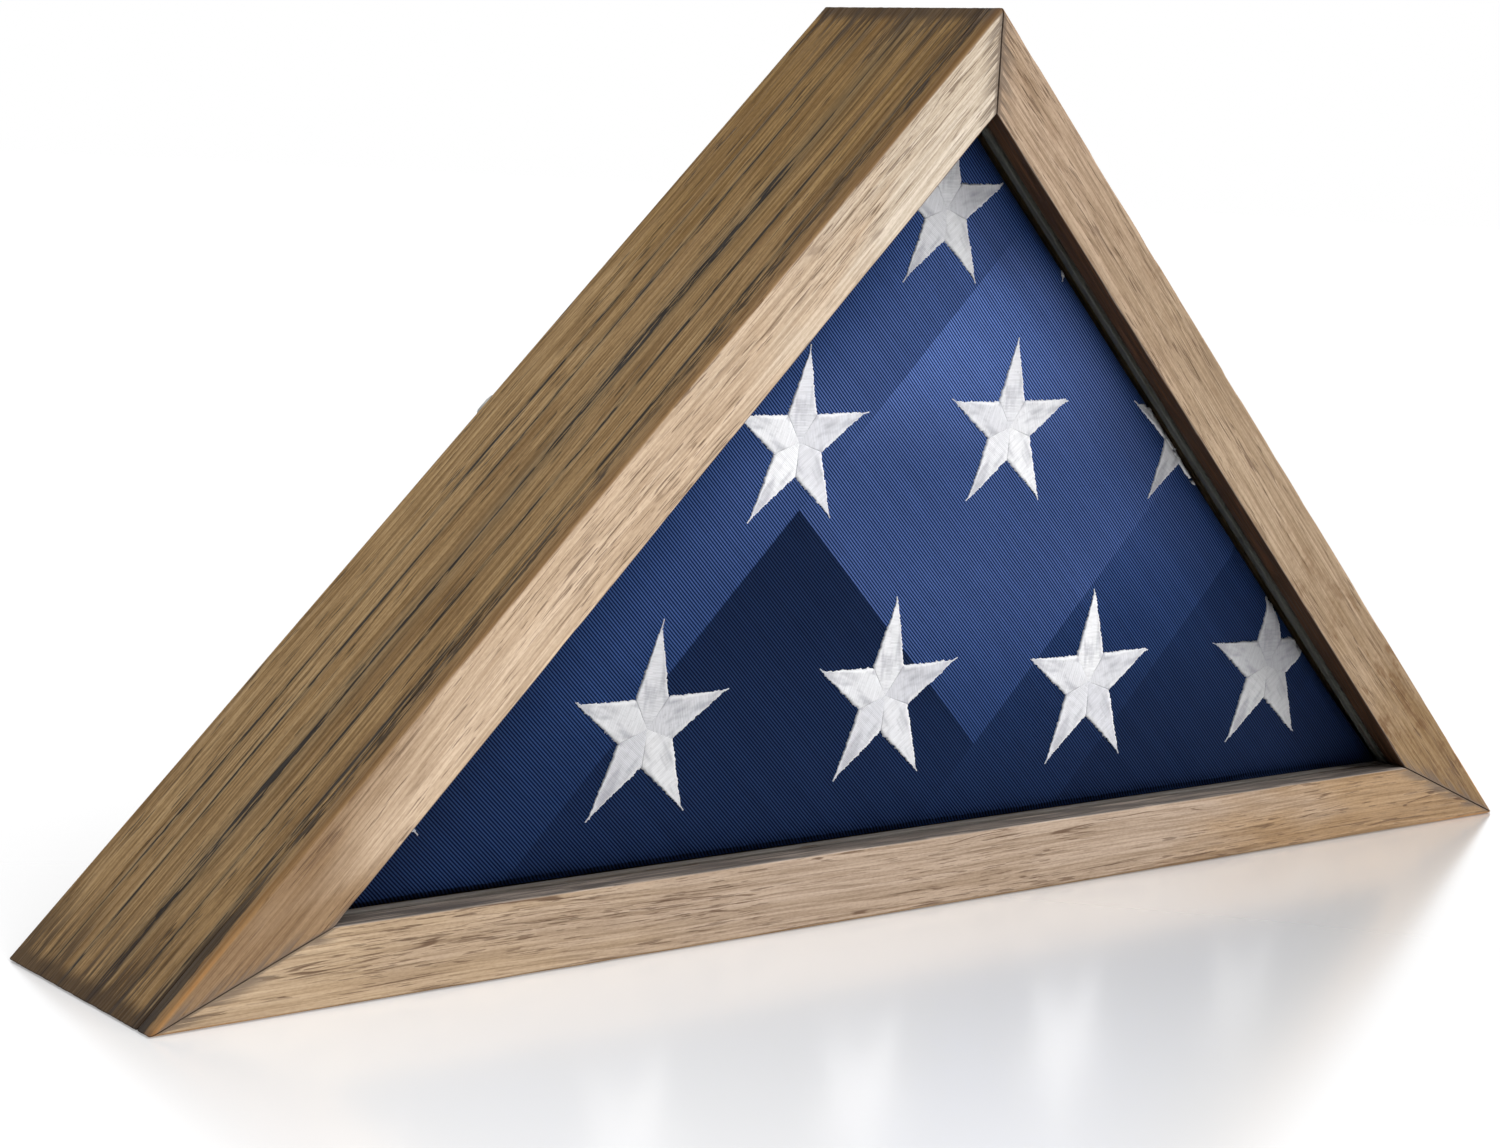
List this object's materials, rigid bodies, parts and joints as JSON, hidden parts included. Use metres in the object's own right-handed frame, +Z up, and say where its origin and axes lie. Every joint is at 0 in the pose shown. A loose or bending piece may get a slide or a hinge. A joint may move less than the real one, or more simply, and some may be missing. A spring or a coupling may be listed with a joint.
{
  "type": "folded flag display case",
  "caption": "Triangular wooden display case with a glazed front that stands on its long side and holds a flag folded into a triangle, with a removable back.",
  "frame": {"origin": "centre of the base board's underside, midway between the front and the boards' rear edges", "axes": "+X to the right along the base seen from the front, +Z up to the apex, the glazed front faces -Y"},
  "size_m": [0.6474, 0.1023, 0.3239],
  "materials": {
    "light_wood": "matte",
    "brown_wood": "matte",
    "strip_wood": "matte",
    "fibreboard": "matte",
    "glass": "gloss",
    "flag_cloth": "satin",
    "zinc_plate": "satin",
    "rubber": "matte"
  },
  "bodies": {
    "case": {"face_rail_bottom": "light_wood", "face_rail_left": "light_wood", "face_rail_right": "light_wood", "base_board": "brown_wood", "side_board_left": "brown_wood", "side_board_right": "brown_wood", "glass_pane": "glass", "glass_stop_bottom": "strip_wood", "glass_stop_left": "strip_wood", "glass_stop_right": "strip_wood", "back_ledge_bottom": "strip_wood", "back_ledge_left": "strip_wood", "back_ledge_right": "strip_wood", "corner_nail_left": "zinc_plate", "corner_nail_right": "zinc_plate", "corner_nail_apex": "zinc_plate", "button_screw_base_left": "zinc_plate", "button_screw_base_right": "zinc_plate", "button_screw_right_lower": "zinc_plate", "button_screw_right_upper": "zinc_plate", "button_screw_left_upper": "zinc_plate", "button_screw_left_lower": "zinc_plate", "hanger_strap_left": "zinc_plate", "hanger_screw_left": "zinc_plate", "hanger_strap_right": "zinc_plate", "hanger_screw_right": "zinc_plate", "wall_bumper_left": "rubber", "wall_bumper_right": "rubber"},
    "back_panel": {"back_panel": "fibreboard"},
    "folded_flag": {"folded_flag": "flag_cloth"},
    "turn_button_base_left": {"turn_button_base_left": "zinc_plate"},
    "turn_button_base_right": {"turn_button_base_right": "zinc_plate"},
    "turn_button_right_lower": {"turn_button_right_lower": "zinc_plate"},
    "turn_button_right_upper": {"turn_button_right_upper": "zinc_plate"},
    "turn_button_left_upper": {"turn_button_left_upper": "zinc_plate"},
    "turn_button_left_lower": {"turn_button_left_lower": "zinc_plate"},
    "hanger_ring_left": {"hanger_ring_left": "zinc_plate"},
    "hanger_ring_right": {"hanger_ring_right": "zinc_plate"}
  },
  "joints": [
    {"name": "back_panel_out", "type": "slide", "parent": "case", "child": "back_panel", "axis": [0, 1, 0], "range_m": [0, 0.2]},
    {"name": "flag_out", "type": "slide", "parent": "case", "child": "folded_flag", "axis": [0, 1, 0], "range_m": [0, 0.1]},
    {"name": "turn_button_base_left_turn", "type": "hinge", "parent": "case", "child": "turn_button_base_left", "pos_m": [-0.14256, 0.0496, 0.0075], "axis": [0, 1, 0], "range_deg": [0, 90]},
    {"name": "turn_button_base_right_turn", "type": "hinge", "parent": "case", "child": "turn_button_base_right", "pos_m": [0.14256, 0.0496, 0.0075], "axis": [0, -1, 0], "range_deg": [0, 90]},
    {"name": "turn_button_right_lower_turn", "type": "hinge", "parent": "case", "child": "turn_button_right_lower", "pos_m": [0.23446, 0.0496, 0.07894], "axis": [0, 1, 0], "range_deg": [0, 90]},
    {"name": "turn_button_right_upper_turn", "type": "hinge", "parent": "case", "child": "turn_button_right_upper", "pos_m": [0.06598, 0.0496, 0.24742], "axis": [0, 1, 0], "range_deg": [0, 90]},
    {"name": "turn_button_left_upper_turn", "type": "hinge", "parent": "case", "child": "turn_button_left_upper", "pos_m": [-0.06598, 0.0496, 0.24742], "axis": [0, -1, 0], "range_deg": [0, 90]},
    {"name": "turn_button_left_lower_turn", "type": "hinge", "parent": "case", "child": "turn_button_left_lower", "pos_m": [-0.23446, 0.0496, 0.07894], "axis": [0, -1, 0], "range_deg": [0, 90]},
    {"name": "hanger_ring_left_swing", "type": "hinge", "parent": "case", "child": "hanger_ring_left", "pos_m": [-0.14374, 0.0511, 0.16966], "axis": [-0.7071, 0, 0.7071], "range_deg": [0, 150]},
    {"name": "hanger_ring_right_swing", "type": "hinge", "parent": "case", "child": "hanger_ring_right", "pos_m": [0.14374, 0.0511, 0.16966], "axis": [-0.7071, 0, -0.7071], "range_deg": [0, 150]}
  ],
  "couplings": [
    {"joint": "flag_out", "follows": "back_panel_out", "ratio": 0.5}
  ]
}
